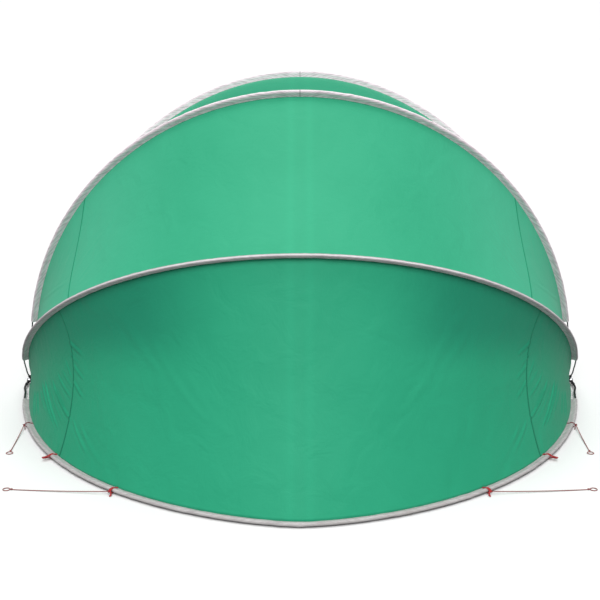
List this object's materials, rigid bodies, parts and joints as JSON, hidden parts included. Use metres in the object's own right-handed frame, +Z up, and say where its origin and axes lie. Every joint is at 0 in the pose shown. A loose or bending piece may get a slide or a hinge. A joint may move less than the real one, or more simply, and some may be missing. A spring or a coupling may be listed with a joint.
{
  "type": "hooped clamshell camping shelter",
  "caption": "Hooped clamshell camping shelter: sleeved poles fan out from two side hubs over a groundsheet, carrying sewn fabric panels, open at the front and guyed at the back.",
  "frame": {"origin": "on the ground at the middle of the shelter's ground plan", "axes": "+Z up, +Y towards the open front, X from side to side along the hub axis; the closed back faces -Y"},
  "size_m": [2.23, 2.6828, 1.2208],
  "materials": {
    "canopy_fabric": "matte",
    "binding_fabric": "matte",
    "groundsheet": "satin",
    "pole_fibreglass": "satin",
    "socket_plastic": "satin",
    "ferrule_metal": "satin",
    "bolt_steel": "satin",
    "red_webbing": "matte",
    "guy_cord": "matte"
  },
  "bodies": {
    "ground_frame": {"back_base_pole_left": "pole_fibreglass", "back_base_pole_right": "pole_fibreglass", "back_base_ferrule": "ferrule_metal", "back_base_sleeve": "binding_fabric", "back_base_socket_left": "socket_plastic", "back_base_socket_right": "socket_plastic", "hub_bolt_left": "bolt_steel", "hub_bolt_right": "bolt_steel", "hub_nut_left": "bolt_steel", "hub_nut_right": "bolt_steel", "back_panel_middle": "canopy_fabric", "back_panel_left": "canopy_fabric", "back_panel_right": "canopy_fabric", "back_base_floor": "groundsheet", "peg_loop_left": "red_webbing", "peg_loop_right": "red_webbing", "side_strap_left": "red_webbing", "side_strap_right": "red_webbing", "back_strap_left": "red_webbing", "back_strap_right": "red_webbing", "side_guy_left": "guy_cord", "side_guy_left_ring": "guy_cord", "side_guy_right": "guy_cord", "side_guy_right_ring": "guy_cord", "back_guy_left": "guy_cord", "back_guy_left_ring": "guy_cord", "back_guy_right": "guy_cord", "back_guy_right_ring": "guy_cord"},
    "rear_hoop": {"rear_hoop_pole_left": "pole_fibreglass", "rear_hoop_pole_right": "pole_fibreglass", "rear_hoop_ferrule": "ferrule_metal", "rear_hoop_sleeve": "binding_fabric", "rear_hoop_socket_left": "socket_plastic", "rear_hoop_socket_right": "socket_plastic", "roof_panel_middle": "canopy_fabric", "roof_panel_left": "canopy_fabric", "roof_panel_right": "canopy_fabric"},
    "middle_hoop": {"middle_hoop_pole_left": "pole_fibreglass", "middle_hoop_pole_right": "pole_fibreglass", "middle_hoop_ferrule": "ferrule_metal", "middle_hoop_sleeve": "binding_fabric", "middle_hoop_socket_left": "socket_plastic", "middle_hoop_socket_right": "socket_plastic", "front_panel_middle": "canopy_fabric", "front_panel_left": "canopy_fabric", "front_panel_right": "canopy_fabric"},
    "front_hoop": {"front_hoop_pole_left": "pole_fibreglass", "front_hoop_pole_right": "pole_fibreglass", "front_hoop_ferrule": "ferrule_metal", "front_hoop_sleeve": "binding_fabric", "front_hoop_socket_left": "socket_plastic", "front_hoop_socket_right": "socket_plastic"},
    "front_base": {"front_base_pole_left": "pole_fibreglass", "front_base_pole_right": "pole_fibreglass", "front_base_ferrule": "ferrule_metal", "front_base_sleeve": "binding_fabric", "front_base_socket_left": "socket_plastic", "front_base_socket_right": "socket_plastic", "front_base_floor": "groundsheet"}
  },
  "joints": [
    {"name": "rear_hoop_fold", "type": "hinge", "parent": "ground_frame", "child": "rear_hoop", "pos_m": [0, 0.0275, 0.014], "axis": [1, 0, 0], "range_deg": [0, 31], "deforming": ["back_panel_middle", "back_panel_left", "back_panel_right"]},
    {"name": "middle_hoop_fold", "type": "hinge", "parent": "rear_hoop", "child": "middle_hoop", "pos_m": [0, 0.0275, 0.014], "axis": [1, 0, 0], "range_deg": [0, 27.7], "deforming": ["roof_panel_middle", "roof_panel_left", "roof_panel_right"]},
    {"name": "front_hoop_fold", "type": "hinge", "parent": "middle_hoop", "child": "front_hoop", "pos_m": [0, 0.0275, 0.014], "axis": [1, 0, 0], "range_deg": [0, 42.6], "deforming": ["front_panel_middle", "front_panel_left", "front_panel_right"]},
    {"name": "front_base_lift", "type": "hinge", "parent": "ground_frame", "child": "front_base", "pos_m": [0, 0.0275, 0.014], "axis": [1, 0, 0], "range_deg": [0, 60]}
  ]
}
